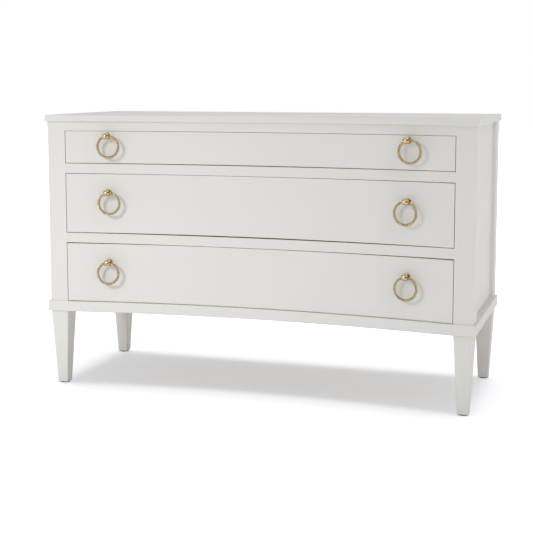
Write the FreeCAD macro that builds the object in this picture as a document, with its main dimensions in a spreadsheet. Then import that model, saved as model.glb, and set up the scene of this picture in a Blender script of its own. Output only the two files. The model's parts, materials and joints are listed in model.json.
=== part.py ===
import FreeCAD, Part
import math
import os
import re
import Sketcher

# A painted chest of three drawers with a hollow front, on four tapered legs, with hanging ring pulls.
# Millimetres. The origin is on the floor under the middle of the case, +X to the right seen from the
# front, +Y to the back and +Z up.

# Driving sizes, millimetres and degrees
sizes = {
    # Case
    "case_width": 1350.0,
    "case_depth": 520.0,
    "front_hollow": 54.0,
    "post_width": 60.0,
    "post_depth": 60.0,
    "post_edge_radius": 2.0,
    # Top
    "top_thickness": 21.0,
    "top_side_overhang": 6.0,
    "top_front_overhang": 8.0,
    "top_back_overhang": 8.0,
    "top_corner_radius": 5.0,
    "top_edge_radius": 2.0,
    # Drawer openings and the rails between them
    "shallow_opening": 102.5,
    "deep_opening": 189.0,
    "top_rail_height": 28.5,
    "divider_height": 31.0,
    "rail_depth": 100.0,
    "rail_edge_bevel": 0.8,
    "upper_divider_sag": 0.8,
    "lower_divider_sag": 1.9,
    # Base frame
    "base_height": 33.0,
    "base_projection": 6.6,
    "base_rail_depth": 110.0,
    "base_side_width": 67.0,
    "base_back_width": 60.0,
    "base_edge_radius": 3.0,
    # Side, back and bottom panels
    "side_panel_recess": 12.0,
    "side_panel_thickness": 16.0,
    "side_panel_tongue": 10.0,
    "back_panel_thickness": 6.0,
    "back_panel_lap": 10.0,
    "back_rail_thickness": 22.0,
    "bottom_panel_thickness": 6.0,
    "bottom_panel_tongue": 8.0,
    "bottom_panel_drop": 12.0,
    # Legs, their bolts and their glides
    "leg_height": 236.0,
    "leg_top_width": 59.0,
    "leg_foot_width": 33.0,
    "leg_edge_radius": 2.4,
    "leg_foot_radius": 2.0,
    "leg_top_radius": 1.6,
    "leg_bolt_radius": 4.0,
    "leg_bolt_grip": 60.0,
    "leg_bolt_reach": 20.0,
    "glide_radius": 15.0,
    "glide_height": 3.0,
    "glide_edge_radius": 1.0,
    "glide_pin_radius": 2.0,
    "glide_pin_length": 18.0,
    # Drawers
    "front_thickness": 22.0,
    "front_edge_radius": 1.2,
    "side_reveal": 1.8,
    "reveal_below": 1.3,
    "top_reveal_above": 0.8,
    "middle_reveal_above": 0.8,
    "bottom_reveal_above": 1.1,
    "box_rise": 12.0,
    "box_headroom": 18.0,
    "box_side_thickness": 12.0,
    "box_back_thickness": 12.0,
    "box_back_drop": 6.0,
    "box_back_room": 30.0,
    "box_floor_thickness": 6.0,
    "box_floor_rise": 8.0,
    "box_floor_tongue": 6.0,
    # Telescopic drawer slides
    "slide_front_room": 8.0,
    "slide_back_room": 34.0,
    "slide_thickness": 12.7,
    "slide_height": 45.0,
    "slide_steel": 1.2,
    "slide_race": 2.0,
    "slide_play": 0.3,
    "slide_lip": 2.0,
    "slide_screw_radius": 1.8,
    "slide_screw_length": 9.0,
    "slide_screw_head_radius": 3.6,
    "slide_screw_head_height": 1.0,
    "slide_screw_inset": 10.0,
    # Screws that hold the back panel
    "back_screw_radius": 1.8,
    "back_screw_bite": 14.0,
    "back_screw_head_radius": 3.8,
    "back_screw_head_height": 1.6,
    # Screws that hold the top
    "top_screw_radius": 2.2,
    "top_screw_bite": 13.0,
    "top_screw_head_radius": 4.4,
    "top_screw_head_height": 3.0,
    "top_screw_inset": 22.0,
    # Ring pulls
    "pull_inset": 139.0,
    "pull_rise": 2.0,
    "pull_standoff": 23.0,
    "ring_radius": 33.25,
    "ring_wire_radius": 4.0,
    "ring_play": 0.3,
    "bead_length": 20.0,
    "bead_end_radius": 7.2,
    "bead_crown": 2.0,
    "rosette_radius": 10.5,
    "rosette_rim": 1.6,
    "rosette_height": 4.6,
    "rosette_neck_radius": 6.0,
    "stem_radius": 4.4,
    "pull_seat_gap": 0.05,
    "pull_screw_radius": 2.0,
    "pull_screw_bite": 10.0,
    "pull_screw_play": 0.25,
    "pull_screw_head_radius": 4.2,
    "pull_screw_head_height": 2.6,
    # How far each pull was turned on its screw when it was tightened
    "top_left_lean_angle": 10.5,
    "top_right_lean_angle": 17.0,
    "middle_left_lean_angle": 12.5,
    "middle_right_lean_angle": -3.0,
    "bottom_left_lean_angle": 1.5,
    "bottom_right_lean_angle": 2.8,
    # How far a cutting shape runs past what it cuts
    "overrun": 5.0,
}

# Places and sizes that follow from the driving ones
derived = {
    "case_half": "case_width / 2",
    "case_back": "case_depth / 2",
    "opening_half": "case_half - post_width",
    "front_radius": "(opening_half ^ 2 + front_hollow ^ 2) / (2 * front_hollow)",
    "curve_centre": "front_hollow - case_back - front_radius",
    "base_half": "case_half + base_projection",
    "base_bottom": "glide_height + leg_height",
    "case_bottom": "base_bottom + base_height",
    "bottom_opening": "case_bottom",
    "lower_divider": "bottom_opening + deep_opening",
    "middle_opening": "lower_divider + divider_height",
    "upper_divider": "middle_opening + deep_opening",
    "top_opening": "upper_divider + divider_height",
    "top_rail": "top_opening + shallow_opening",
    "case_top": "top_rail + top_rail_height",
    "overall_height": "case_top + top_thickness",
    "post_centre_x": "case_half - post_width / 2",
    "post_centre_y": "case_back - post_depth / 2",
    "front_rail_back": "rail_depth - case_back",
    "base_rail_back": "base_rail_depth - case_back",
    "box_half": "opening_half - slide_thickness",
    "box_back": "case_back - back_panel_thickness - box_back_room",
    "slide_front": "front_thickness + slide_front_room - case_back",
    "slide_back": "case_back - back_panel_thickness - slide_back_room",
    "slide_middle_web": "slide_thickness - slide_steel - slide_race",
    "slide_inner_tip": "slide_middle_web - slide_steel - slide_play",
    "slide_middle_half": "slide_height / 2 - slide_steel - slide_play",
    "slide_inner_half": "slide_middle_half - slide_steel - slide_play",
    "upper_divider_radius": "(opening_half ^ 2 + upper_divider_sag ^ 2) / (2 * upper_divider_sag)",
    "lower_divider_radius": "(opening_half ^ 2 + lower_divider_sag ^ 2) / (2 * lower_divider_sag)",
    "bead_radius": "bead_end_radius + bead_crown",
}

# The sill of each drawer's opening, the opening's height and the sag of the rail above it
drawers = {
    "top": ("top_opening", "shallow_opening", "0"),
    "middle": ("middle_opening", "deep_opening", "upper_divider_sag"),
    "bottom": ("bottom_opening", "deep_opening", "lower_divider_sag"),
}
for drawer, (sill, height, sag) in drawers.items():
    derived |= {
        f"{drawer}_front_low": f"{sill} + reveal_below",
        f"{drawer}_front_high": f"{sill} + {height} - {sag} - {drawer}_reveal_above",
        f"{drawer}_box_low": f"{drawer}_front_low + box_rise",
        f"{drawer}_box_high": f"{sill} + {height} - box_headroom",
        f"{drawer}_floor_low": f"{drawer}_box_low + box_floor_rise",
        f"{drawer}_floor_high": f"{drawer}_floor_low + box_floor_thickness",
        f"{drawer}_slide_level": f"({drawer}_box_low + {drawer}_box_high) / 2",
        f"{drawer}_pull_level": f"({drawer}_front_low + {drawer}_front_high) / 2 + pull_rise + ring_radius",
    }
sides = {"left": -1, "right": 1}
ends = {"front": -1, "back": 1}

# Places of the top's screws along each rail, as shares of half the opening
top_screw_shares = (-0.8, -0.27, 0.27, 0.8)

# Places of the back panel's screws: along the top back rail, as shares of half the opening, and up each
# post, as shares of the panel's height
rail_screw_shares = (-0.55, 0, 0.55)
post_screw_shares = (0.06, 0.35, 0.65, 0.94)

# How closely an edge has to lie to a line or a level, as a share of the case's width
hair_share = 1e-5

doc = FreeCAD.newDocument("Chest")
sheet = doc.addObject("Spreadsheet::Sheet", "Sizes")
for row, (alias, value) in enumerate(sizes.items(), start=1):
    sheet.set(f"A{row}", alias)
    sheet.set(f"B{row}", str(value))
    sheet.setAlias(f"B{row}", alias)
for row, (alias, rule) in enumerate(derived.items(), start=1):
    sheet.set(f"D{row}", alias)
    sheet.set(f"E{row}", f"={rule}")
    sheet.setAlias(f"E{row}", alias)
doc.recompute()

nodes = []
hair = hair_share * sizes["case_width"]


# The value of one cell
def size(alias):
    return float(sheet.get(alias))


# The value of a rule
def evaluate(rule):
    return float(sheet.evalExpression(named(rule)))


# A rule with each size in it named as a cell of the sheet
def named(rule):
    def cell(word):
        return f"Sizes.{word[0]}" if word[0] in sizes or word[0] in derived else word[0]

    return re.sub(r"[a-z]\w*", cell, rule)


def bind(item, **rules):
    for field, rule in rules.items():
        item.setExpression(field, named(rule))
    return item


def place(item, x="0", y="0", z="0"):
    for axis, rule in (("x", x), ("y", y), ("z", z)):
        item.setExpression(f".Placement.Base.{axis}", named(rule))
    return item


# A finished piece, under the name of its file
def node(item, name):
    item.Label = name
    nodes.append(item)
    return item


# A pair of limits on one side of the middle or the other, lower one first
def mirrored(sign, inner, outer):
    return (inner, outer) if sign > 0 else (f"-({outer})", f"-({inner})")


# A block between two limits along each axis
def block(name, x, y, z):
    item = doc.addObject("Part::Box", name)
    for field, (low, high) in (("Length", x), ("Width", y), ("Height", z)):
        item.setExpression(field, named(f"({high}) - ({low})"))
    return place(item, x[0], y[0], z[0])


def cylinder(name, radius, height):
    return bind(doc.addObject("Part::Cylinder", name), Radius=radius, Height=height)


# A standing cylinder whose wall is the front's curve, set back by an inset
def front_curve(name, inset):
    item = cylinder(name, f"front_radius + {inset}", "overall_height + 2 * overrun")
    return place(item, "0", "curve_centre", "-overrun")


def cut(base, *tools):
    for tool in tools:
        item = doc.addObject("Part::Cut", f"{base.Name}_cut")
        item.Base = base
        item.Tool = tool
        base = item
    return base


def common(base, tool):
    item = doc.addObject("Part::Common", f"{base.Name}_common")
    item.Base = base
    item.Tool = tool
    return item


def fuse(base, tool):
    item = doc.addObject("Part::Fuse", f"{base.Name}_fuse")
    item.Base = base
    item.Tool = tool
    return item


# Rounds or bevels those edges of a piece that a test picks
def ease(base, alias, picks, kind="Part::Fillet"):
    doc.recompute()
    item = doc.addObject(kind, f"{base.Name}_eased")
    item.Base = base
    amount = size(alias)
    item.Edges = [(n, amount, amount) for n, edge in enumerate(base.Shape.Edges, start=1) if picks(edge)]
    return item


def is_upright(edge):
    return edge.BoundBox.XLength < hair and edge.BoundBox.YLength < hair


def is_level(edge):
    return edge.BoundBox.ZLength < hair


# Copies of one shape at several places, as one piece of separate solids
def group(name, master, places):
    doc.recompute()
    copies = []
    for seat in places:
        shape = master.Shape.copy()
        shape.Placement = seat.multiply(shape.Placement)
        copies.append(shape)
    item = doc.addObject("Part::Feature", name)
    item.Shape = Part.makeCompound(copies)
    item.Placement = FreeCAD.Placement()
    return item


def spot(x, y, z, axis=FreeCAD.Vector(0, 0, 1), angle=0):
    return FreeCAD.Placement(FreeCAD.Vector(x, y, z), FreeCAD.Rotation(axis, angle))


# A closed outline in a body's own plane, each corner tied to the sheet. Its runs are straight, but the
# first may bulge to a height at mid run.
def outline(body, plane, corners, bulge=None):
    sketch = body.newObject("Sketcher::SketchObject", f"{body.Name}_outline")
    support = next(part for part in body.Origin.OriginFeatures if part.Role == plane)
    sketch.AttachmentSupport = [(support, "")]
    sketch.MapMode = "FlatFace"
    points = [FreeCAD.Vector(evaluate(x), evaluate(y), 0) for x, y in corners]
    for number, (start, end) in enumerate(zip(points, points[1:] + points[:1])):
        if bulge and number == 0:
            crown = FreeCAD.Vector((start.x + end.x) / 2, evaluate(bulge), 0)
            sketch.addGeometry(Part.Arc(start, crown, end))
        else:
            sketch.addGeometry(Part.LineSegment(start, end))
    for number in range(len(corners)):
        sketch.addConstraint(Sketcher.Constraint("Coincident", number, 2, (number + 1) % len(corners), 1))
    for number, (x, y) in enumerate(corners):
        for kind, rule in (("DistanceX", x), ("DistanceY", y)):
            index = sketch.addConstraint(Sketcher.Constraint(kind, -1, 1, number, 1, evaluate(rule)))
            sketch.setExpression(f"Constraints[{index}]", named(rule))
    if bulge:
        rise = f"({bulge} - {corners[0][1]})"
        radius = f"(({corners[0][0]}) ^ 2 + {rise} ^ 2) / (2 * {rise})"
        index = sketch.addConstraint(Sketcher.Constraint("Radius", 0, evaluate(radius)))
        sketch.setExpression(f"Constraints[{index}]", named(radius))
    return sketch


# Rounds those edges of a body's last feature that a test picks
def round_edges(body, base, radius, picks):
    doc.recompute()
    item = body.newObject("PartDesign::Fillet", f"{body.Name}_round")
    item.Base = (base, [f"Edge{n}" for n, edge in enumerate(base.Shape.Edges, start=1) if picks(edge)])
    return bind(item, Radius=radius)


# A screw that points along +Z, with the seat of its head at zero
def screw(kind, length):
    shank = cylinder(f"{kind}_shank", f"{kind}_radius", length)
    head = cylinder(f"{kind}_head", f"{kind}_head_radius", f"{kind}_head_height")
    return fuse(shank, place(head, z=f"-{kind}_head_height"))


def compound(name, items):
    item = doc.addObject("Part::Compound", name)
    item.Links = items
    return item


# Side, back and bottom panels, which also cut their own grooves in the frame
def make_side_panel(name, side):
    face = "case_half - side_panel_recess"
    x = mirrored(side, f"{face} - side_panel_thickness", face)
    reach = "case_back - post_depth + side_panel_tongue"
    panel = block(f"{name}_side_panel", x, (f"-({reach})", reach), ("case_bottom", "case_top"))
    return node(panel, f"{name}_side_panel")


# The whole sheet is given back too, for the rebates that it fits
def make_back_panel(screws):
    reach = "(opening_half + back_panel_lap)"
    panel = block("back_sheet", (f"-{reach}", reach), ("case_back - back_panel_thickness", "case_back"),
                  ("case_bottom", "case_top"))
    node(cut(panel, screws), "back_panel")
    return panel


def make_bottom_panel():
    reach = "(base_half - base_side_width + bottom_panel_tongue)"
    y = ("base_rail_back - bottom_panel_tongue", "case_back - base_back_width + bottom_panel_tongue")
    top = "case_bottom - bottom_panel_drop"
    panel = block("bottom_panel", (f"-{reach}", reach), y, (f"{top} - bottom_panel_thickness", top))
    return node(panel, "bottom_panel")


# Screws up through the top rails into the top, heads sunk flush with the rails
def make_top_screws():
    master = screw("top_screw", "top_rail_height - top_screw_head_height + top_screw_bite")
    rows = (size("front_rail_back") - size("top_screw_inset"),
            size("case_back") - size("back_panel_thickness") - size("back_rail_thickness") / 2)
    height = size("top_rail") + size("top_screw_head_height")
    places = [spot(share * size("opening_half"), y, height) for y in rows for share in top_screw_shares]
    return node(group("top_screws", master, places), "top_screws")


# Screws through the back panel, into the posts' rebates and the top back rail
def make_back_screws():
    master = screw("back_screw", "back_panel_thickness + back_screw_bite")
    low = size("case_bottom")
    tall = size("case_top") - low
    across = size("opening_half") + size("back_panel_lap") / 2
    seats = [(side * across, low + share * tall)
             for side in sides.values() for share in post_screw_shares]
    rail_middle = size("case_top") - size("top_rail_height") / 2
    seats += [(share * size("opening_half"), rail_middle) for share in rail_screw_shares]
    places = [spot(x, size("case_back"), z, FreeCAD.Vector(1, 0, 0), 90) for x, z in seats]
    return node(group("back_panel_screws", master, places), "back_panel_screws")


def make_top_panel(screws):
    reach = "(case_half + top_side_overhang)"
    depth = ("-case_back - top_front_overhang", "case_back + top_back_overhang")
    slab = block("top_slab", (f"-{reach}", reach), depth, ("case_top", "overall_height"))
    slab = cut(slab, front_curve("top_front_edge", "(-top_front_overhang)"))
    outer = size("case_half")
    slab = ease(slab, "top_corner_radius", lambda e: is_upright(e) and abs(e.CenterOfMass.x) > outer)
    slab = ease(slab, "top_edge_radius", is_level)
    return node(cut(slab, screws), "top_panel")


# A corner post, grooved for its side panel, rebated for the back and bored for its leg's bolt
def make_post(end, side, tools):
    name = f"{end}_{side}_post"
    y = mirrored(ends[end], "case_back - post_depth", "case_back")
    x = mirrored(sides[side], "opening_half", "case_half")
    post = block(f"{name}_block", x, y, ("case_bottom", "case_top"))
    outer = size("case_half") - hair
    post = ease(post, "post_edge_radius", lambda e: is_upright(e) and abs(e.CenterOfMass.x) > outer)
    return node(cut(post, *tools), name)


# The long front edges of a rail, which follow the hollow front
def is_front_edge(edge):
    box = edge.BoundBox
    return box.XLength > size("opening_half") and box.YLength > hair


# The stuff of a curved rail, left long so that its front edges are eased right through its ends
def rail_stuff(name, low, high):
    reach = "(opening_half + overrun)"
    depth = ("-case_back - overrun", "front_rail_back")
    return block(f"{name}_stuff", (f"-{reach}", reach), depth, (low, high))


def make_top_rail(front_face, opening, screws):
    rail = cut(rail_stuff("top_front_rail", "top_rail", "case_top"), front_face)
    low = size("top_rail") + hair
    rail = ease(rail, "rail_edge_bevel", lambda e: is_front_edge(e) and e.BoundBox.ZMax < low,
                "Part::Chamfer")
    return node(cut(common(rail, opening), screws), "top_front_rail")


def make_back_rail(*screws):
    back = "case_back - back_panel_thickness"
    y = (f"{back} - back_rail_thickness", back)
    rail = block("top_back_block", ("-opening_half", "opening_half"), y, ("top_rail", "case_top"))
    return node(cut(rail, *screws), "top_back_rail")


# A lying cylinder whose wall is a divider's long edge, which hangs lowest at mid span
def sag_curve(divider, extra):
    item = cylinder(f"{divider}_curve", f"{divider}_radius + {extra}", "rail_depth + 2 * overrun")
    item.Placement = spot(0, 0, 0, FreeCAD.Vector(1, 0, 0), -90)
    centre = f"{divider} + divider_height - {divider}_sag + {divider}_radius"
    return place(item, "0", "-case_back - overrun", centre)


def make_divider(divider, front_face, opening):
    rail = rail_stuff(divider, f"{divider} - {divider}_sag", f"{divider} + divider_height + overrun")
    rail = common(rail, sag_curve(divider, "divider_height"))
    rail = cut(rail, sag_curve(divider, "0"), front_face)
    rail = ease(rail, "rail_edge_bevel", is_front_edge, "Part::Chamfer")
    return node(common(rail, opening), f"{divider}_rail")


# The base frame stands proud of the case at the front and the sides
def make_base_front(bottom_panel, bolts):
    y = ("-case_back - base_projection", "base_rail_back")
    rail = block("base_front_block", ("-base_half", "base_half"), y, ("base_bottom", "case_bottom"))
    rail = cut(rail, front_curve("base_front_edge", "(-base_projection)"))
    front = -size("case_back")
    back = size("base_rail_back") - hair
    rail = ease(rail, "base_edge_radius", lambda e: is_upright(e) and e.CenterOfMass.y < front
                and abs(e.CenterOfMass.x) > size("case_half"))
    rail = ease(rail, "base_edge_radius", lambda e: is_level(e) and e.CenterOfMass.y < back)
    return node(cut(rail, bottom_panel, bolts), "base_front_rail")


def make_base_side(side, bottom_panel, bolts):
    x = mirrored(sides[side], "base_half - base_side_width", "base_half")
    rail = block(f"base_{side}_block", x, ("base_rail_back", "case_back"), ("base_bottom", "case_bottom"))
    outer = size("base_half") - hair
    rail = ease(rail, "base_edge_radius", lambda e: is_level(e) and abs(e.CenterOfMass.x) > outer)
    return node(cut(rail, bottom_panel, bolts), f"base_{side}_rail")


def make_base_back(bottom_panel):
    reach = "(base_half - base_side_width)"
    rail = block("base_back_block", (f"-{reach}", reach), ("case_back - base_back_width", "case_back"),
                 ("base_bottom", "case_bottom"))
    return node(cut(rail, bottom_panel), "base_back_rail")


def corner_spots(z):
    return [spot(side * size("post_centre_x"), end * size("post_centre_y"), z)
            for end in ends.values() for side in sides.values()]


# Threaded rods that draw each leg up against the base frame and its post
def make_leg_bolts():
    rod = cylinder("leg_bolt", "leg_bolt_radius", "leg_bolt_grip + base_height + leg_bolt_reach")
    places = corner_spots(size("base_bottom") - size("leg_bolt_grip"))
    return node(group("leg_bolts", rod, places), "leg_bolts")


def make_glides():
    disc = cylinder("glide_disc", "glide_radius", "glide_height")
    low = size("glide_height") / 2
    disc = ease(disc, "glide_edge_radius", lambda e: is_level(e) and e.BoundBox.ZMax < low)
    pin = place(cylinder("glide_pin", "glide_pin_radius", "glide_pin_length"), z="glide_height")
    return node(group("leg_glides", fuse(disc, pin), corner_spots(0)), "leg_glides")


def square(width):
    half = f"{width} / 2"
    return [(f"-{half}", f"-{half}"), (half, f"-{half}"), (half, half), (f"-{half}", half)]


# A square leg that tapers alike on all four sides
def make_leg(end, side, tools):
    name = f"{end}_{side}_leg"
    body = doc.addObject("PartDesign::Body", f"{name}_body")
    taper = body.newObject("PartDesign::Pad", f"{name}_taper")
    taper.Profile = outline(body, "XY_Plane", square("leg_foot_width"))
    bind(taper, Length="leg_height", TaperAngle="atan((leg_top_width - leg_foot_width) / (2 * leg_height))")
    long_edges = round_edges(body, taper, "leg_edge_radius", lambda e: not is_level(e))
    low = size("leg_edge_radius")
    high = size("leg_height") - low
    foot = round_edges(body, long_edges, "leg_foot_radius", lambda e: is_level(e) and e.BoundBox.ZMax < low)
    round_edges(body, foot, "leg_top_radius", lambda e: is_level(e) and e.BoundBox.ZMin > high)
    place(body, f"{sides[side]} * post_centre_x", f"{ends[end]} * post_centre_y", "glide_height")
    return node(cut(body, *tools), name)


# One steel member of a slide: a web and two flanges, measured across from the drawer's side
def make_channel(name, side, web, tip, half, z):
    sign = "" if side > 0 else "-"
    back, face = web
    inner_half = f"{half} - slide_steel"
    corners = [(back, f"-{half}"), (back, half), (tip, half), (tip, inner_half),
               (face, inner_half), (face, f"-({inner_half})"), (tip, f"-({inner_half})"), (tip, f"-{half}")]
    body = doc.addObject("PartDesign::Body", name)
    profile = outline(body, "XZ_Plane", [(f"{sign}({x})", y) for x, y in corners])
    pad = body.newObject("PartDesign::Pad", f"{name}_pad")
    pad.Profile = profile
    bind(pad, Length="slide_back - slide_front")
    return place(body, f"{side} * box_half", "slide_back", z)


# The members of a drawer's two slides: those on the posts, those between, and those on the drawer
def make_slides(drawer):
    fixed_web = ("slide_thickness", "slide_thickness - slide_steel")
    middle_web = ("slide_middle_web", "slide_middle_web - slide_steel")
    members = {"fixed": (fixed_web, "slide_lip", "slide_height / 2"),
               "middle": (middle_web, "slide_lip", "slide_middle_half"),
               "inner": (("0", "slide_steel"), "slide_inner_tip", "slide_inner_half")}
    level = f"{drawer}_slide_level"
    return {member: [make_channel(f"{drawer}_{member}_{side}", sign, *shape, level)
                     for side, sign in sides.items()]
            for member, shape in members.items()}


# Places of the screws of a drawer's two slides, which are driven out into the posts or in to the drawer
def slide_screw_spots(drawer, seat, into):
    reach = size("case_back") - size("post_depth") + size("slide_screw_inset")
    level = size(f"{drawer}_slide_level")
    return [spot(side * seat, end * reach, level, FreeCAD.Vector(0, 1, 0), side * into)
            for side in sides.values() for end in ends.values()]


# The places of a drawer's pulls on the hollow front: square to the curve, each turned on its own screw
def pull_spots(drawer):
    radius = size("front_radius")
    places = {}
    for side, sign in sides.items():
        x = sign * (size("opening_half") - size("pull_inset"))
        y = size("curve_centre") + math.sqrt(radius ** 2 - x ** 2)
        turn = FreeCAD.Rotation(FreeCAD.Vector(0, 0, 1), -math.degrees(math.asin(x / radius)))
        lean = FreeCAD.Rotation(FreeCAD.Vector(0, 1, 0), -size(f"{drawer}_{side}_lean_angle"))
        level = size(f"{drawer}_pull_level")
        places[side] = FreeCAD.Placement(FreeCAD.Vector(x, y, level), turn.multiply(lean))
    return places


# The rosette and its stem, turned about the pull's own screw
def make_stem():
    body = doc.addObject("PartDesign::Body", "pull_stem")
    corners = [("0", "-pull_seat_gap"), ("rosette_radius", "-pull_seat_gap"),
               ("rosette_radius", "-rosette_rim"), ("rosette_neck_radius", "-rosette_height"),
               ("stem_radius", "-rosette_height"), ("stem_radius", "-pull_standoff"),
               ("0", "-pull_standoff")]
    turned = body.newObject("PartDesign::Revolution", "pull_stem_turned")
    turned.Profile = outline(body, "XY_Plane", corners)
    turned.ReferenceAxis = (turned.Profile[0], ["V_Axis"])
    return body


# The olive-shaped bead at the stem's end, turned about the line that the ring swings on
def make_bead():
    body = doc.addObject("PartDesign::Body", "pull_bead")
    half = "bead_length / 2"
    sketch = outline(body, "XY_Plane", [(half, "bead_end_radius"), (f"-{half}", "bead_end_radius"),
                                        (f"-{half}", "0"), (half, "0")], bulge="bead_radius")
    olive = body.newObject("PartDesign::Revolution", "pull_olive")
    olive.Profile = sketch
    olive.ReferenceAxis = (sketch, ["H_Axis"])
    return place(body, y="-pull_standoff")


# A pull's fixed part. Its bore flares from the middle, so that the ring can swing right round in it.
def make_pull_post():
    flare = bind(doc.addObject("Part::Torus", "pull_flare"), Radius1="ring_radius",
                 Radius2="ring_radius - ring_wire_radius - ring_play")
    flare.Placement = spot(0, 0, 0, FreeCAD.Vector(0, 1, 0), 90)
    place(flare, y="-pull_standoff")
    thread = cylinder("pull_thread", "pull_screw_radius", "pull_screw_bite")
    thread.Placement = spot(0, 0, 0, FreeCAD.Vector(1, 0, 0), 90)
    return cut(common(fuse(make_stem(), make_bead()), flare), thread)


def make_ring(name, pull):
    ring = bind(doc.addObject("Part::Torus", name), Radius1="ring_radius", Radius2="ring_wire_radius")
    hung = spot(0, -size("pull_standoff"), -size("ring_radius"), FreeCAD.Vector(1, 0, 0), 90)
    ring.Placement = pull.multiply(hung)
    return node(ring, name)


# A drawer's floor, let into grooves, with a front edge that follows the front's curve
def make_floor(drawer, edge):
    reach = "(box_half - box_side_thickness + box_floor_tongue)"
    floor = block(f"{drawer}_floor_block", (f"-{reach}", reach), ("-case_back", "box_back"),
                  (f"{drawer}_floor_low", f"{drawer}_floor_high"))
    return node(cut(floor, edge), f"{drawer}_drawer_floor")


# Screws from inside the front into the pulls, and through the slides into the drawer's sides
def make_drawer_screws(drawer, masters, pull_seats):
    seat = size("box_half") + size("slide_steel")
    pull_screws = group(f"{drawer}_pull_screws", masters["pull_screw"], pull_seats)
    side_seats = slide_screw_spots(drawer, seat, -90)
    side_screws = group(f"{drawer}_side_screws", masters["slide_screw"], side_seats)
    name = f"{drawer}_drawer_screws"
    return node(compound(name, [pull_screws, side_screws]), name)


# The long edges and ends of a drawer front's face
def is_face_edge(edge, behind):
    if is_upright(edge):
        return edge.CenterOfMass.y < behind
    return is_front_edge(edge) and abs(edge.Curve.Radius - size("front_radius")) < hair


# A drawer's front, eased round its face, grooved for the floor and bored for the pulls
def make_front(drawer, curves, floor, bore, pull_seats):
    reach = "(opening_half - side_reveal)"
    depth = ("-case_back", "front_hollow + front_thickness + overrun - case_back")
    height = (f"{drawer}_front_low", f"{drawer}_front_high")
    front = block(f"{drawer}_front_block", (f"-{reach}", reach), depth, height)
    front = cut(common(front, curves["front_back"]), curves["front_face"])
    behind = size("front_thickness") / 2 - size("case_back")
    front = ease(front, "front_edge_radius", lambda e: is_face_edge(e, behind))
    bores = group(f"{drawer}_pull_bores", bore, pull_seats)
    return node(cut(front, floor, bores), f"{drawer}_drawer_front")


# A drawer's two sides, and its back, which stands on the floor
def make_box(drawer, front_back, floor, screws):
    box_low = f"{drawer}_box_low"
    box_high = f"{drawer}_box_high"
    for side, sign in sides.items():
        x = mirrored(sign, "box_half - box_side_thickness", "box_half")
        wall = block(f"{drawer}_{side}_wall", x, ("-case_back", "box_back"), (box_low, box_high))
        node(cut(wall, front_back, floor, screws), f"{drawer}_drawer_{side}_side")
    reach = "(box_half - box_side_thickness)"
    back = block(f"{drawer}_back_wall", (f"-{reach}", reach), ("box_back - box_back_thickness", "box_back"),
                 (f"{drawer}_floor_high", f"{box_high} - box_back_drop"))
    node(back, f"{drawer}_drawer_back")


# One drawer with its pulls and slides. The slide members that stay on the posts are given back.
def make_drawer(drawer, curves, masters):
    pulls = pull_spots(drawer)
    inside = spot(0, size("front_thickness"), 0, FreeCAD.Vector(1, 0, 0), 90)
    pull_seats = [pull.multiply(inside) for pull in pulls.values()]
    floor = make_floor(drawer, curves["floor_edge"])
    screws = make_drawer_screws(drawer, masters, pull_seats)
    make_front(drawer, curves, floor, masters["pull_bore"], pull_seats)
    make_box(drawer, curves["front_back"], floor, screws)
    slides = make_slides(drawer)
    node(compound(f"{drawer}_middle_rails", slides["middle"]), f"{drawer}_slide_middle_rails")
    inner = [cut(member, screws) for member in slides["inner"]]
    node(compound(f"{drawer}_inner_rails", inner), f"{drawer}_drawer_slide_rails")
    node(group(f"{drawer}_posts", masters["pull_post"], pulls.values()), f"{drawer}_drawer_pull_posts")
    for side, pull in pulls.items():
        make_ring(f"{drawer}_{side}_ring", pull)
    return slides["fixed"]


curves = {
    "front_face": front_curve("front_face", "0"),
    "front_back": front_curve("front_back", "front_thickness"),
    "floor_edge": front_curve("floor_edge", "(front_thickness - box_floor_tongue)"),
}
masters = {
    "slide_screw": screw("slide_screw", "slide_screw_length"),
    "pull_screw": screw("pull_screw", "front_thickness + pull_screw_bite"),
    "pull_bore": cylinder("pull_bore", "pull_screw_radius + pull_screw_play", "front_thickness + overrun"),
    "pull_post": make_pull_post(),
}

# The space between the posts, to which the curved rails are trimmed
opening = block("opening", ("-opening_half", "opening_half"), ("-case_back - overrun", "case_back"),
                ("0", "overall_height"))

# The case
panels = {side: make_side_panel(side, sign) for side, sign in sides.items()}
back_screws = make_back_screws()
back_sheet = make_back_panel(back_screws)
bottom_panel = make_bottom_panel()
top_screws = make_top_screws()
leg_bolts = make_leg_bolts()
glides = make_glides()
make_top_panel(top_screws)
make_top_rail(curves["front_face"], opening, top_screws)
make_back_rail(top_screws, back_screws)
make_divider("upper_divider", curves["front_face"], opening)
make_divider("lower_divider", curves["front_face"], opening)
make_base_front(bottom_panel, leg_bolts)
for side in sides:
    make_base_side(side, bottom_panel, leg_bolts)
make_base_back(bottom_panel)

# The drawers, and the slide members that stay on the posts
fixed_members = []
fixed_spots = []
for drawer in drawers:
    fixed_members += make_drawer(drawer, curves, masters)
    fixed_spots += slide_screw_spots(drawer, size("opening_half") - size("slide_steel"), 90)
slide_screws = node(group("case_slide_screws", masters["slide_screw"], fixed_spots), "case_slide_screws")
fixed = [cut(member, slide_screws) for member in fixed_members]
node(compound("fixed_rails", fixed), "case_slide_rails")

for end in ends:
    for side in sides:
        tools = [panels[side], leg_bolts, slide_screws]
        if end == "back":
            tools += [back_sheet, back_screws]
        make_post(end, side, tools)
        make_leg(end, side, [leg_bolts, glides])
doc.recompute()

# Nothing is written unless every object came out whole
for item in doc.Objects:
    if {"Invalid", "Error"} & set(item.State):
        raise RuntimeError(f"{item.Name} failed: {item.State}")
for item in nodes:
    if item.Shape.isNull() or not item.Shape.isValid() or not item.Shape.Solids:
        raise RuntimeError(f"{item.Label} has no sound solid")

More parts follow.
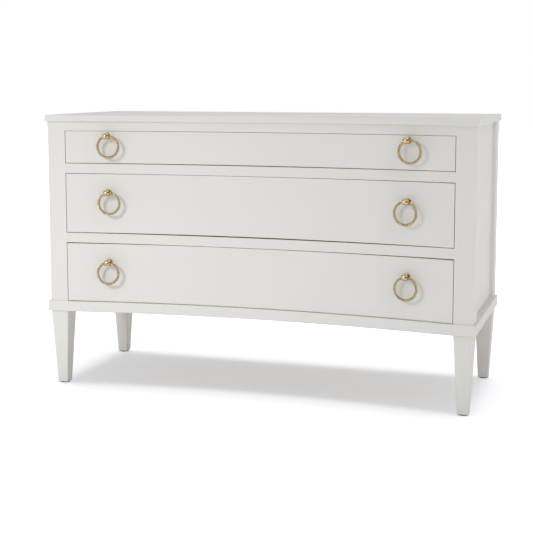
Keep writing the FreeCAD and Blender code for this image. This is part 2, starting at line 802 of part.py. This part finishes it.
os.makedirs("parts", exist_ok=True)
for item in nodes:
    item.Shape.exportStep(f"parts/{item.Label}.step")
print(f"{len(nodes)} pieces, {sum(len(item.Shape.Solids) for item in nodes)} solids")
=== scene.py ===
import functools
import json
import math

import bmesh
import bpy
from mathutils import Matrix, Vector


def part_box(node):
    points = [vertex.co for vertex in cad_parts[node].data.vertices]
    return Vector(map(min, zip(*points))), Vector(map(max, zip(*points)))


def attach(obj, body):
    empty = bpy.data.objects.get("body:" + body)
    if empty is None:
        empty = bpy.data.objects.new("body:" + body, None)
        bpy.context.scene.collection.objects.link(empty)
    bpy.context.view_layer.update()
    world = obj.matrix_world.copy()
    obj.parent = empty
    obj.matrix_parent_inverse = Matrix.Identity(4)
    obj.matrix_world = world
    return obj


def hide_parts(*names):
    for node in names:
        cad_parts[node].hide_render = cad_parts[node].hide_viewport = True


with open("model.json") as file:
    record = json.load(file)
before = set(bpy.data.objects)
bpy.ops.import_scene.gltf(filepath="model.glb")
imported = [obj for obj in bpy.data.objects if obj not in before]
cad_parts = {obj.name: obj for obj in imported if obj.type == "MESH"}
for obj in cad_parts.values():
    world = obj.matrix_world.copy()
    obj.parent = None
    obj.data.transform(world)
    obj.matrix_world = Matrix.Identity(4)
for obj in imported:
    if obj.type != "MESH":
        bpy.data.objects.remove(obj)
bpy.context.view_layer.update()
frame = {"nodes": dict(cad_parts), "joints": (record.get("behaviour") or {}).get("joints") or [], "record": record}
nodes = frame["nodes"]
joints = {joint["name"]: joint for joint in frame["joints"]}
drawerNames = ("top", "middle", "bottom")
sideNames = ("left", "right")
print("frame loaded,", len(nodes), "nodes")


# A socket of a shader graph. Sums on it add Math nodes, and node() adds anything else
class Wire:
    def __init__(self, tree, socket=None):
        self.tree = tree
        self.socket = socket

    def node(self, kind, settings=None, sockets=None, output=0):
        item = self.tree.nodes.new(kind)
        for name, value in (settings or {}).items():
            if name == "stops":
                self.rampStops(item.color_ramp, value)
            else:
                setattr(item, name, value)
        for name, value in (sockets or {}).items():
            if isinstance(value, Wire):
                self.tree.links.new(value.socket, item.inputs[name])
            else:
                item.inputs[name].default_value = value
        return Wire(self.tree, item.outputs[output] if item.outputs else None)

    def rampStops(self, ramp, stops):
        while len(ramp.elements) < len(stops):
            ramp.elements.new(1)
        for element, (place, colour) in zip(ramp.elements, stops):
            element.position = place
            element.color = colour

    def sum(self, operation, other):
        return self.node("ShaderNodeMath", {"operation": operation}, {0: self, 1: other})

    def __add__(self, other):
        return self.sum("ADD", other)

    def __mul__(self, other):
        return self.sum("MULTIPLY", other)

    __radd__ = __add__
    __rmul__ = __mul__


def finishOf(name, build, *details):
    material = bpy.data.materials.new(name)
    material.use_nodes = True
    material.node_tree.nodes.clear()
    graph = Wire(material.node_tree)
    graph.node("ShaderNodeOutputMaterial", None, {"Surface": build(graph, *details)})
    return material


def objectPlace(graph, stretch=(1, 1, 1), shift=(0, 0, 0)):
    place = graph.node("ShaderNodeTexCoord", None, None, "Object")
    return graph.node("ShaderNodeMapping", None, {"Vector": place, "Location": shift, "Scale": stretch})


def lengthOf(graph, place):
    return graph.node("ShaderNodeVectorMath", {"operation": "LENGTH"}, {0: place}, "Value")


def noise(graph, place, look):
    return graph.node("ShaderNodeTexNoise", None, {"Vector": place} | look)


def blend(first, second, secondShare):
    return first * (1 - secondShare) + second * secondShare


def mixColour(graph, amount, first, second):
    return graph.node("ShaderNodeMix", {"data_type": "RGBA"}, {0: amount, 6: first, 7: second}, 2)


def ramp(graph, amount, stops):
    return graph.node("ShaderNodeValToRGB", {"stops": stops}, {0: amount})


# From low to high, as an amount goes from nought to one
def spread(graph, amount, low, high):
    return graph.node("ShaderNodeMapRange", None, {0: amount, 3: low, 4: high})


# From nought to one, as an amount goes from start to end
def rise(graph, amount, start, end, kind="LINEAR"):
    return graph.node("ShaderNodeMapRange", {"interpolation_type": kind}, {0: amount, 1: start, 2: end})


def bump(graph, height, relief):
    return graph.node("ShaderNodeBump", None, {"Height": height} | relief)


def surface(graph, colour, rough, normal, fixed=None):
    sockets = {"Base Color": colour, "Roughness": rough, "Normal": normal}
    return graph.node("ShaderNodeBsdfPrincipled", None, sockets | (fixed or {}))


# Satin paint: sprayed, with a fine peel, and a trace of the wood's grain under it. On the rails beside the
# drawers it covers the face and its eased edges, and the wood further from the front curve's centre is bare
paintLook = {
    "light": (0.800, 0.788, 0.760, 1), "shade": (0.776, 0.762, 0.732, 1),
    "drift": {"Scale": 2.6, "Detail": 3}, "peel": {"Scale": 620, "Detail": 1},
    "fibre": {"Scale": 34, "Detail": 5, "Roughness": 0.6},
    "grainStretch": {"x": (0.06, 1, 1), "y": (1, 0.06, 1), "z": (1, 1, 0.06)},
    "fibreInColour": 0.3, "fibreInGloss": 0.5, "fibreInRelief": 0.65,
    "roughness": (0.52, 0.64), "relief": {"Distance": 0.00022, "Strength": 0.16},
    "fixed": {"Specular IOR Level": 0.36},
    "curveShift": (0, 3.73508, 0), "curveRadius": 3.52908, "paintedDepths": (0.00085, 0.00105),
}


def paint(graph, grain, bareBehind=False):
    look = paintLook
    place = objectPlace(graph)
    drift = noise(graph, place, look["drift"])
    peel = noise(graph, place, look["peel"])
    fibre = noise(graph, objectPlace(graph, look["grainStretch"][grain]), look["fibre"])
    colour = mixColour(graph, blend(drift, fibre, look["fibreInColour"]), look["shade"], look["light"])
    rough = spread(graph, blend(drift, fibre, look["fibreInGloss"]), *look["roughness"])
    normal = bump(graph, blend(peel, fibre, look["fibreInRelief"]), look["relief"])
    if bareBehind:
        reach = lengthOf(graph, objectPlace(graph, (1, 1, 0), look["curveShift"]))
        bare = rise(graph, reach, *(look["curveRadius"] + depth for depth in look["paintedDepths"]))
        colour = mixColour(graph, bare, colour, woodColour(graph, woodGrain(graph, grain)))
    return surface(graph, colour, rough, normal, look["fixed"])


# Aged brass: rubbed bright where it is handled, and darkened with brown patina and painted shade where a piece's
# groove attribute marks hollows
brassLook = {
    "bright": (0.720, 0.558, 0.325, 1), "dull": (0.230, 0.158, 0.074, 1), "hollow": (0.036, 0.020, 0.008, 1),
    "patch": {"Scale": 85, "Detail": 4, "Roughness": 0.6}, "scratch": {"Scale": 900}, "scratchInGloss": 0.4,
    "roughness": (0.26, 0.13), "hollowRoughness": 0.25, "relief": {"Distance": 0.00005, "Strength": 0.3},
    "fixed": {"Metallic": 1},
}


def brass(graph):
    look = brassLook
    place = objectPlace(graph)
    patch = noise(graph, place, look["patch"])
    scratch = noise(graph, place, look["scratch"])
    # The groove attribute carries the painted shade: it mixes towards near-black brown in the rope's grooves,
    # inside the bead's bore and at the rosette's neck
    groove = graph.node("ShaderNodeAttribute", {"attribute_name": "groove"}, None, "Fac")
    rubbed = mixColour(graph, patch, look["dull"], look["bright"])
    colour = mixColour(graph, groove, rubbed, look["hollow"])
    rough = spread(graph, blend(patch, scratch, look["scratchInGloss"]), *look["roughness"])
    rough = rough + groove * look["hollowRoughness"]
    return surface(graph, colour, rough, bump(graph, scratch, look["relief"]), look["fixed"])


# Clear-lacquered drawer wood, straight in the grain
woodLook = {
    "tones": ((0.3, (0.400, 0.240, 0.115, 1)), (0.5, (0.540, 0.355, 0.190, 1)),
              (0.68, (0.640, 0.452, 0.262, 1))),
    "grainStretch": {"x": (0.05, 1, 1), "y": (1, 0.05, 1)},
    "band": {"Scale": 26, "Detail": 4, "Roughness": 0.55, "Distortion": 0.6},
    "pore": {"Scale": 420, "Detail": 3, "Roughness": 0.6}, "poreInColour": 0.25,
    "roughness": (0.42, 0.56), "relief": {"Distance": 0.00012, "Strength": 0.4},
}


def woodGrain(graph, grain):
    place = objectPlace(graph, woodLook["grainStretch"][grain])
    return noise(graph, place, woodLook["band"]), noise(graph, place, woodLook["pore"])


def woodColour(graph, grains):
    return ramp(graph, blend(*grains, woodLook["poreInColour"]), woodLook["tones"])


def drawerWood(graph, grain):
    look = woodLook
    band, pore = woodGrain(graph, grain)
    rough = spread(graph, pore, *look["roughness"])
    return surface(graph, woodColour(graph, (band, pore)), rough, bump(graph, pore, look["relief"]))


# Sanded plywood for the back, the bottom and the drawer floors
plyLook = {
    "tones": ((0.32, (0.450, 0.300, 0.165, 1)), (0.5, (0.540, 0.385, 0.230, 1)),
              (0.66, (0.610, 0.455, 0.290, 1))),
    "stretch": (0.16, 1, 1), "figure": {"Scale": 9, "Detail": 5, "Roughness": 0.55, "Distortion": 1.4},
    "fleck": {"Scale": 240, "Detail": 3, "Roughness": 0.65}, "fleckInColour": 0.3,
    "roughness": (0.55, 0.7), "relief": {"Distance": 0.00015, "Strength": 0.4},
}


def plywood(graph):
    look = plyLook
    place = objectPlace(graph, look["stretch"])
    figure = noise(graph, place, look["figure"])
    fleck = noise(graph, place, look["fleck"])
    colour = ramp(graph, blend(figure, fleck, look["fleckInColour"]), look["tones"])
    rough = spread(graph, fleck, *look["roughness"])
    return surface(graph, colour, rough, bump(graph, fleck, look["relief"]))


# Zinc-plated steel, drawn lengthwise
steelLook = {
    "light": (0.620, 0.630, 0.650, 1), "dark": (0.440, 0.450, 0.465, 1), "stretch": (1, 0.02, 1),
    "drawn": {"Scale": 900}, "cloud": {"Scale": 60, "Detail": 3}, "cloudInColour": 0.5,
    "roughness": (0.26, 0.42), "relief": {"Distance": 0.00004, "Strength": 0.3}, "fixed": {"Metallic": 1},
}


def steel(graph):
    look = steelLook
    drawn = noise(graph, objectPlace(graph, look["stretch"]), look["drawn"])
    cloud = noise(graph, objectPlace(graph), look["cloud"])
    colour = mixColour(graph, blend(drawn, cloud, look["cloudInColour"]), look["dark"], look["light"])
    rough = spread(graph, cloud, *look["roughness"])
    return surface(graph, colour, rough, bump(graph, drawn, look["relief"]), look["fixed"])


# Dark moulded nylon under the feet
glideLook = {
    "dark": (0.012, 0.010, 0.009, 1), "worn": (0.060, 0.052, 0.046, 1), "grain": {"Scale": 700, "Detail": 3},
    "roughness": (0.45, 0.65), "relief": {"Distance": 0.0001, "Strength": 0.5},
}


def glideNylon(graph):
    look = glideLook
    grain = noise(graph, objectPlace(graph), look["grain"])
    colour = mixColour(graph, grain, look["dark"], look["worn"])
    rough = spread(graph, grain, *look["roughness"])
    return surface(graph, colour, rough, bump(graph, grain, look["relief"]))


finishes = {
    "paintX": finishOf("satin_paint_across", paint, "x"),
    "paintRail": finishOf("satin_paint_rail", paint, "x", True),
    "paintY": finishOf("satin_paint_deep", paint, "y"),
    "paintZ": finishOf("satin_paint_upright", paint, "z"),
    "brass": finishOf("aged_brass", brass),
    "woodX": finishOf("drawer_wood_across", drawerWood, "x"),
    "woodY": finishOf("drawer_wood_deep", drawerWood, "y"),
    "plywood": finishOf("sanded_plywood", plywood),
    "steel": finishOf("zinc_steel", steel),
    "glide": finishOf("glide_nylon", glideNylon),
}


# The grain runs along each piece
def nodeFinish(name, slotName):
    if slotName == "paint":
        if name.endswith(("_post", "_leg", "_side_panel")):
            return "paintZ"
        if name in ("top_front_rail", "upper_divider_rail", "lower_divider_rail"):
            return "paintRail"
        return "paintY" if name in ("base_left_rail", "base_right_rail") else "paintX"
    if slotName == "drawer_wood":
        return "woodY" if name.endswith("_side") else "woodX"
    return slotName


for part in frame["record"]["subparts"]:
    mesh = nodes[part["node"]].data
    mesh.materials.clear()
    mesh.materials.append(finishes[nodeFinish(part["node"], part["material_slot"])])
print("finishes laid on,", len(finishes), "materials")


def meshOf(name, bm):
    mesh = bpy.data.meshes.new(name)
    bm.to_mesh(mesh)
    bm.free()
    return mesh


# Adds a copy of a master mesh to a bmesh, moved to its place
def addCopy(bm, master, place):
    known = len(bm.verts)
    bm.from_mesh(master)
    bm.verts.ensure_lookup_table()
    bmesh.ops.transform(bm, matrix=place, verts=bm.verts[known:])


# Puts a finished bmesh on a body as a piece that stands for a node
def addPiece(name, bm, slotName, body, stoodFor):
    mesh = meshOf(name, bm)
    mesh.materials.append(finishes[slotName])
    for face in mesh.polygons:
        face.use_smooth = True
    piece = bpy.data.objects.new(name, mesh)
    bpy.context.scene.collection.objects.link(piece)
    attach(piece, body)
    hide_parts(stoodFor)
    return piece


# An outline turned right round an axis through the origin
def spinProfile(bm, points, axis, sides):
    verts = [bm.verts.new(point) for point in points]
    edges = [bm.edges.new(pair) for pair in zip(verts, verts[1:])]
    bmesh.ops.spin(bm, geom=verts + edges, cent=(0, 0, 0), axis=axis, angle=math.tau, steps=sides,
                   use_merge=True)


# The frame of a ring: x along the bead, y up to the bead, z out of the ring's plane
def ringFrame(drawer, side):
    joint = joints[f"{drawer}_{side}_ring_swing"]
    low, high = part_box(f"{drawer}_{side}_ring")
    centre = (low + high) / 2
    toBead = Vector(joint["pos_m"]) - centre
    up = toBead.normalized()
    along = -Vector(joint["axis"]).normalized()
    turn = Matrix((along, up, along.cross(up))).transposed().to_4x4()
    return Matrix.Translation(centre) @ turn, toBead.length


# Rings of three strands laid up like rope
ropeRing = {
    "wire": 0.004, "strands": 3, "lays": 12, "grooveDepth": 0.0009, "sides": 36, "stepsPerLay": 24,
    "mergeShare": 0.01,
}


def ropeRadius(angle):
    look = ropeRing
    return look["wire"] - look["grooveDepth"] * (1 - abs(math.cos(look["strands"] * angle / 2)))


def ropeRingMesh(radius):
    look = ropeRing
    steps = look["lays"] * look["stepsPerLay"]
    turn = Matrix.Rotation(math.tau / steps, 3, "Z")
    centre = Vector((0, radius, 0))
    bm = bmesh.new()
    # Patina and painted shade: the groove attribute is one at the bottom of each groove between the strands and
    # nought on their crowns
    groove = bm.verts.layers.float.new("groove")
    verts = bmesh.ops.create_circle(bm, segments=look["sides"], radius=look["wire"])["verts"]
    for vert in verts:
        reach = ropeRadius(math.atan2(vert.co.y, vert.co.x))
        vert[groove] = ((look["wire"] - reach) / look["grooveDepth"]) ** 2
        vert.co *= reach / look["wire"]
    bmesh.ops.rotate(bm, verts=verts, cent=(0, 0, 0), matrix=Matrix.Rotation(math.pi / 2, 3, "Y"))
    bmesh.ops.translate(bm, verts=verts, vec=centre)
    edges = list(bm.edges)
    for step in range(steps):
        made = bmesh.ops.extrude_edge_only(bm, edges=edges)["geom"]
        verts = [item for item in made if isinstance(item, bmesh.types.BMVert)]
        edges = [item for item in made if isinstance(item, bmesh.types.BMEdge)]
        bmesh.ops.rotate(bm, verts=verts, cent=(0, 0, 0), matrix=turn)
        centre = turn @ centre
        twist = Matrix.Rotation(math.tau / look["stepsPerLay"], 3, centre.cross(Vector((0, 0, 1))))
        bmesh.ops.rotate(bm, verts=verts, cent=centre, matrix=twist)
    bmesh.ops.remove_doubles(bm, verts=bm.verts, dist=look["wire"] * look["mergeShare"])
    bmesh.ops.recalc_face_normals(bm, faces=bm.faces)
    return meshOf("rope_ring_master", bm)


# The pulls' fixed parts: a turned rosette and stem, and an olive bead that the ring runs through
pullPost = {
    "standoff": 0.023, "seatGap": 0.00005, "rosetteRadius": 0.0105, "rosetteRim": 0.0016,
    "rosetteHeight": 0.0046, "neckRadius": 0.006, "collarRadius": 0.0056, "collarHeight": 0.0064,
    "stemRadius": 0.0044, "beadLength": 0.02, "beadEnd": 0.0072, "beadCrown": 0.002, "ringPlay": 0.0003,
    "edgeRound": 0.00035, "roundSteps": 3, "sharpAngle": 35, "mergeShare": 0.01, "sides": 40, "steps": 10,
    "borePaintedShade": 1.0, "neckPaintedShade": 0.55,
}


# Round about z, from the drawer's face out into the bead's wall
def turnedStem(bm, look):
    face = -look["standoff"]
    reach = look["standoff"] - look["beadEnd"]
    outline = [
        (0, look["seatGap"]), (look["rosetteRadius"], look["seatGap"]),
        (look["rosetteRadius"], look["rosetteRim"]), (look["neckRadius"], look["rosetteHeight"]),
        (look["collarRadius"], look["rosetteHeight"]), (look["collarRadius"], look["collarHeight"]),
        (look["stemRadius"], look["collarHeight"]), (look["stemRadius"], reach), (0, reach),
    ]
    spinProfile(bm, [(radius, 0, face + height) for radius, height in outline], (0, 0, 1), look["sides"])


# Round about x: crowned outside, and flared inside so that the ring can swing
def turnedBead(bm, look, ringRadius):
    half = look["beadLength"] / 2
    flare = ringRadius - ropeRing["wire"] - look["ringPlay"]
    along = [half * (2 * step / look["steps"] - 1) for step in range(look["steps"] + 1)]
    outer = [(x, 0, look["beadEnd"] + look["beadCrown"] * (1 - (x / half) ** 2)) for x in along]
    inner = [(x, 0, ringRadius - math.sqrt(flare ** 2 - x ** 2)) for x in reversed(along)]
    spinProfile(bm, outer + inner + outer[:1], (1, 0, 0), look["sides"])


def pullPostMesh(ringRadius):
    look = pullPost
    bm = bmesh.new()
    turnedStem(bm, look)
    turnedBead(bm, look, ringRadius)
    bmesh.ops.remove_doubles(bm, verts=bm.verts, dist=look["edgeRound"] * look["mergeShare"])
    bmesh.ops.recalc_face_normals(bm, faces=bm.faces)
    least = math.radians(look["sharpAngle"])
    sharp = [edge for edge in bm.edges if edge.is_manifold and edge.calc_face_angle() > least]
    bmesh.ops.bevel(bm, geom=sharp, offset=look["edgeRound"], affect="EDGES", segments=look["roundSteps"],
                    profile=0.5, material=-1)
    # Painted shade in the groove attribute: full inside the bead's bore, a little over half at the rosette's step
    # up to the neck
    groove = bm.verts.layers.float.new("groove")
    for vert in bm.verts:
        fromAxis = math.hypot(vert.co.y, vert.co.z)
        if fromAxis < look["beadEnd"] - 2 * look["edgeRound"]:
            vert[groove] = look["borePaintedShade"]
        elif abs(vert.co.z + look["standoff"] - look["rosetteHeight"]) < look["edgeRound"]:
            vert[groove] = look["neckPaintedShade"]
    return meshOf("pull_post_master", bm)


ringRadius = ringFrame(drawerNames[0], sideNames[0])[1]
ringMaster = ropeRingMesh(ringRadius)
postMaster = pullPostMesh(ringRadius)
for drawer in drawerNames:
    posts = bmesh.new()
    for side in sideNames:
        place, radius = ringFrame(drawer, side)
        ringName = f"{drawer}_{side}_ring"
        rope = bmesh.new()
        addCopy(rope, ringMaster, place)
        addPiece(f"{ringName}_rope", rope, "brass", ringName, ringName)
        addCopy(posts, postMaster, place @ Matrix.Translation((0, radius, 0)))
    addPiece(f"{drawer}_pull_posts_turned", posts, "brass", f"{drawer}_drawer", f"{drawer}_drawer_pull_posts")
print("rings and pull posts made")


# Screws with a domed head and a cross recess, each as large as its plain solid
crossScrew = {
    "sides": 24, "rimShare": 0.6, "crownShare": 0.84, "landShare": 0.66, "armShare": 0.52,
    "armWidthShare": 0.16, "recessShare": 0.6, "pointShare": 0.5, "touch": 0.00001,
}


# The separate solids of a node, each as its corner points
def solidsOf(name):
    bm = bmesh.new()
    bm.from_mesh(nodes[name].data)
    bmesh.ops.remove_doubles(bm, verts=bm.verts, dist=crossScrew["touch"])
    solids = []
    for first in bm.verts:
        if first.tag:
            continue
        first.tag = True
        reached = [first]
        for vert in reached:
            beside = [edge.other_vert(vert) for edge in vert.link_edges]
            for other in beside:
                if not other.tag:
                    other.tag = True
                    reached.append(other)
        solids.append([vert.co.copy() for vert in reached])
    bm.free()
    return solids


# A screw on z, with the seat of its head at zero and its head above
@functools.lru_cache
def screwMesh(headRadius, headHeight, shankRadius, length):
    look = crossScrew
    outline = [
        (0, -length), (shankRadius * look["pointShare"], -length), (shankRadius, shankRadius - length),
        (shankRadius, 0), (headRadius, 0), (headRadius, headHeight * look["rimShare"]),
        (headRadius * look["crownShare"], headHeight), (headRadius * look["landShare"], headHeight),
    ]
    bm = bmesh.new()
    spinProfile(bm, [(radius, 0, height) for radius, height in outline], (0, 0, 1), look["sides"])
    bmesh.ops.remove_doubles(bm, verts=bm.verts, dist=look["touch"])
    land = [edge for edge in bm.edges if edge.is_boundary]
    arm = headRadius * look["armShare"]
    thin = headRadius * look["armWidthShare"]
    cross = []
    for quarter in range(4):
        turn = Matrix.Rotation(quarter * math.pi / 2, 3, "Z")
        corners = ((arm, -thin, headHeight), (arm, thin, headHeight), (thin, thin, headHeight))
        cross += [bm.verts.new(turn @ Vector(corner)) for corner in corners]
    mouth = [bm.edges.new(pair) for pair in zip(cross, cross[1:] + cross[:1])]
    bmesh.ops.bridge_loops(bm, edges=land + mouth)
    sunk = bmesh.ops.extrude_edge_only(bm, edges=mouth)["geom"]
    deep = [item for item in sunk if isinstance(item, bmesh.types.BMVert)]
    bmesh.ops.translate(bm, verts=deep, vec=(0, 0, -headHeight * look["recessShare"]))
    bmesh.ops.edgeloop_fill(bm, edges=[item for item in sunk if isinstance(item, bmesh.types.BMEdge)])
    bmesh.ops.recalc_face_normals(bm, faces=bm.faces)
    return meshOf("cross_screw_master", bm)


# Adds a screw in the place and at the size of a plain one, given the way that its head faces
def addScrew(bm, points, headward):
    touch = crossScrew["touch"]
    levels = [point.dot(headward) for point in points]
    rim = [point for point, level in zip(points, levels) if max(levels) - level < touch]
    centre = sum(rim, Vector()) / len(rim)
    radii = [headward.cross(point - centre).length for point in points]
    seat = min(level for level, radius in zip(levels, radii) if max(radii) - radius < touch)
    shank = max(radius for level, radius in zip(levels, radii) if level - min(levels) < touch)
    sizes = (max(radii), max(levels) - seat, shank, seat - min(levels))
    turn = headward.to_track_quat("Z", "Y").to_matrix().to_4x4()
    seatPlace = Matrix.Translation(centre - headward * (max(levels) - seat)) @ turn
    addCopy(bm, screwMesh(*(round(length, 5) for length in sizes)), seatPlace)


# Heads face out of the back panel, down from the top rails, away from what each slide is screwed to, and
# into the drawer behind each pull
def headwardOf(name, points, drawer):
    centre = sum(points, Vector()) / len(points)
    outwards = Vector((math.copysign(1, centre.x), 0, 0))
    if name == "back_panel_screws":
        return Vector((0, 1, 0))
    if name == "top_screws":
        return Vector((0, 0, -1))
    if name == "case_slide_screws":
        return -outwards
    across, deep = (max(point[axis] for point in points) - min(point[axis] for point in points)
                    for axis in (0, 1))
    side = "right" if centre.x > 0 else "left"
    return -ringFrame(drawer, side)[0].col[2].to_3d() if across < deep else outwards


screwNodes = {"back_panel_screws": "case", "top_screws": "case", "case_slide_screws": "case"}
screwNodes |= {f"{drawer}_drawer_screws": f"{drawer}_drawer" for drawer in drawerNames}
for name, body in screwNodes.items():
    bm = bmesh.new()
    for points in solidsOf(name):
        addScrew(bm, points, headwardOf(name, points, body.split("_")[0]))
    screws = addPiece(f"{name}_crossed", bm, "steel", body, name)
    screws.data.shade_flat()
print("screws made")


# The photograph's camera, in the chest's own frame
cameraLook = {
    "place": (1.11148, -3.59334, 0.96329), "turn": 0.3059, "tilt": 0.1133, "roll": 0.0003,
    "lens": 79.33, "sensor": 36, "shift": (-0.0045, -0.0935),
}
camera = bpy.data.objects.new("photo_camera", bpy.data.cameras.new("photo_camera"))
bpy.context.scene.collection.objects.link(camera)
camera.location = cameraLook["place"]
camera.rotation_euler = (math.pi / 2 - cameraLook["tilt"], cameraLook["roll"], cameraLook["turn"])
camera.data.lens = cameraLook["lens"]
camera.data.sensor_width = cameraLook["sensor"]
camera.data.shift_x, camera.data.shift_y = cameraLook["shift"]
bpy.context.scene.camera = camera

# The studio: a white floor that glows and fades into a white backdrop, a key lamp in front to the left, a
# high lamp on the right, one behind, one above, another above for the floor alone, and a dark card that the
# camera doesn't see and the brass does
studioLook = {
    "floorSize": 40, "floorColour": (0.850, 0.858, 0.868, 1), "floorLift": (0.325, 0.34, 0.362, 1),
    "floorGlow": 0.04, "fade": (1.1, 2.6), "white": (1, 1, 1, 1), "worldLight": (0.39, 0.39, 0.39, 1),
    "card": {"place": (0.7, -4.6, 0.9), "size": 2.8, "colour": (0.03, 0.027, 0.024, 1)},
}
lampLooks = {
    "key_lamp": {"place": (-1.32, -2.6, 1.78), "aim": (-0.35, -0.2, -0.15), "size": 0.7, "spread": 65,
                 "watts": 4.6, "colour": (1.0, 0.99, 0.98)},
    "right_lamp": {"place": (2.2, -1.6, 2.9), "aim": (0.7, 0.0, 0.2), "size": 1.4, "spread": 75,
                   "watts": 3.7, "colour": (1.0, 0.985, 0.975)},
    "back_lamp": {"place": (-0.6, 3.6, 0.45), "aim": (0.0, 0.27, 0.4), "size": 0.8, "spread": 75,
                  "watts": 8, "colour": (1.0, 1.0, 1.0)},
    "top_lamp": {"place": (0.0, 0.1, 3.4), "aim": (0.0, 0.1, 0.0), "size": 1.6, "spread": 180,
                 "watts": 14, "colour": (0.95, 0.97, 1.0)},
    "floor_lamp": {"place": (0.0, 1.0, 25.0), "aim": (0.0, 0.0, 0.0), "size": 14.0, "spread": 180,
                   "watts": 4700, "colour": (1.0, 1.0, 1.0)},
}


# One for what the camera sees, straight or in a gloss, and nought for what only lights
def seenRay(graph):
    kinds = ("Is Camera Ray", "Is Glossy Ray", "Is Transmission Ray")
    straight, gloss, through = (graph.node("ShaderNodeLightPath", None, None, kind) for kind in kinds)
    clamped = {"operation": "ADD", "use_clamp": True}
    return graph.node("ShaderNodeMath", clamped, {0: straight, 1: gloss + through})


def studioFloor(graph):
    look = studioLook
    fade = rise(graph, lengthOf(graph, objectPlace(graph)), *look["fade"], "SMOOTHSTEP")
    full = mixColour(graph, fade, look["floorLift"], look["white"])
    faint = graph.node("ShaderNodeVectorMath", {"operation": "SCALE"}, {0: full, "Scale": look["floorGlow"]})
    body = graph.node("ShaderNodeBsdfDiffuse", None, {"Color": look["floorColour"]})
    lift = graph.node("ShaderNodeEmission", None, {"Color": mixColour(graph, seenRay(graph), faint, full)})
    return graph.node("ShaderNodeAddShader", None, {0: body, 1: lift})


def darkCard(graph):
    return graph.node("ShaderNodeBsdfDiffuse", None, {"Color": studioLook["card"]["colour"]})


# A flat sheet of the studio, which isn't part of the chest
def addSheet(name, size, place, finish):
    bm = bmesh.new()
    bmesh.ops.create_grid(bm, x_segments=1, y_segments=1, size=size, matrix=place)
    sheet = bpy.data.objects.new(name, meshOf(name, bm))
    sheet.data.materials.append(finish)
    bpy.context.scene.collection.objects.link(sheet)
    return sheet


floor = addSheet("studio_floor", studioLook["floorSize"] / 2, Matrix(), finishOf("studio_white", studioFloor))
cardPlace = Matrix.Translation(studioLook["card"]["place"]) @ Matrix.Rotation(math.pi / 2, 4, "X")
card = addSheet("studio_card", studioLook["card"]["size"], cardPlace, finishOf("studio_dark", darkCard))
card.visible_camera = False
card.visible_diffuse = False
card.visible_shadow = False

world = bpy.data.worlds.new("studio_world")
bpy.context.scene.world = world
world.use_nodes = True
world.node_tree.nodes.clear()
graph = Wire(world.node_tree)
skyColour = mixColour(graph, seenRay(graph), studioLook["worldLight"], studioLook["white"])
sky = graph.node("ShaderNodeBackground", None, {"Color": skyColour})
graph.node("ShaderNodeOutputWorld", None, {"Surface": sky})

# One lamp lights the floor and nothing else, and the others leave it out
groupNames = {"INCLUDE": "floor_only", "EXCLUDE": "all_but_floor"}
lit = {state: bpy.data.collections.new(name) for state, name in groupNames.items()}
for state, group in lit.items():
    group.objects.link(floor)
    group.collection_objects[0].light_linking.link_state = state
for name, look in lampLooks.items():
    lamp = bpy.data.lights.new(name, "AREA")
    lamp.size = look["size"]
    lamp.spread = math.radians(look["spread"])
    lamp.energy = look["watts"]
    lamp.color = look["colour"]
    lampObject = bpy.data.objects.new(name, lamp)
    bpy.context.scene.collection.objects.link(lampObject)
    lampObject.location = look["place"]
    aim = Vector(look["aim"]) - Vector(look["place"])
    lampObject.rotation_euler = aim.to_track_quat("-Z", "Y").to_euler()
    lampObject.visible_camera = False
    lampObject.light_linking.receiver_collection = lit["INCLUDE" if name == "floor_lamp" else "EXCLUDE"]
bpy.context.scene.view_settings.view_transform = "Standard"
print("studio set up")

print("chest finished")
